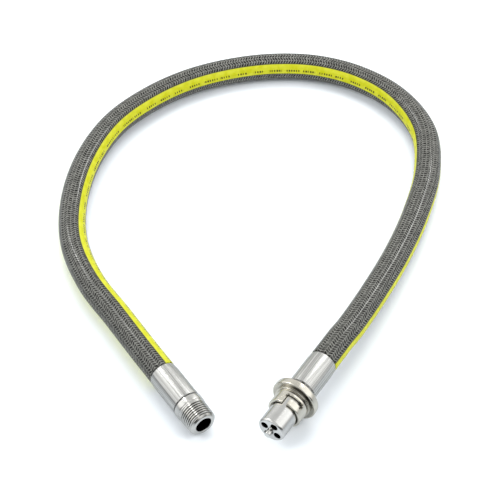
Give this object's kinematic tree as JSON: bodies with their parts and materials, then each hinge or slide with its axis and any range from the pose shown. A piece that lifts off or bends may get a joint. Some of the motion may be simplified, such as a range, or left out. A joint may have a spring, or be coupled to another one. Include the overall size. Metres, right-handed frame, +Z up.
{
  "type": "flexible gas hose",
  "caption": "Flexible gas hose laid in a loop, with a crimped taper-threaded nipple at one end and a crimped bayonet plug with a turning flanged sleeve at the other.",
  "frame": {"origin": "on the surface the hose lies on, under the centre of the bounding box of the two end fittings; the hose loop reaches from there towards +Y", "axes": "+Z up; +Y away from the camera, from the fittings towards the loop; +X to the right in the picture, from the threaded end to the bayonet plug"},
  "size_m": [0.2937, 0.3894, 0.0342],
  "materials": {
    "hose_cover": "grey braided-look cover with two yellow stripes under a clear satin skin",
    "bright_steel": "bright turned steel",
    "cream_nickel": "warm bright nickel plate",
    "seal_rubber": "matt black",
    "washer_plastic": "natural white"
  },
  "bodies": {
    "hose_body": {"hose": "hose_cover", "thread_ferrule": "bright_steel", "thread_nipple": "bright_steel", "bayonet_ferrule": "bright_steel", "plug_tail": "bright_steel", "barrel_seal_ring": "seal_rubber", "swivel_washer": "washer_plastic", "nose_barrel": "bright_steel"},
    "sleeve_body": {"bayonet_sleeve": "cream_nickel"}
  },
  "joints": [
    {"name": "sleeve_swivel", "type": "hinge", "parent": "hose_body", "child": "sleeve_body", "pos_m": [0.03626, -0.00263, 0.0171], "axis": [-0.5299, -0.848, 0], "continuous": true}
  ]
}
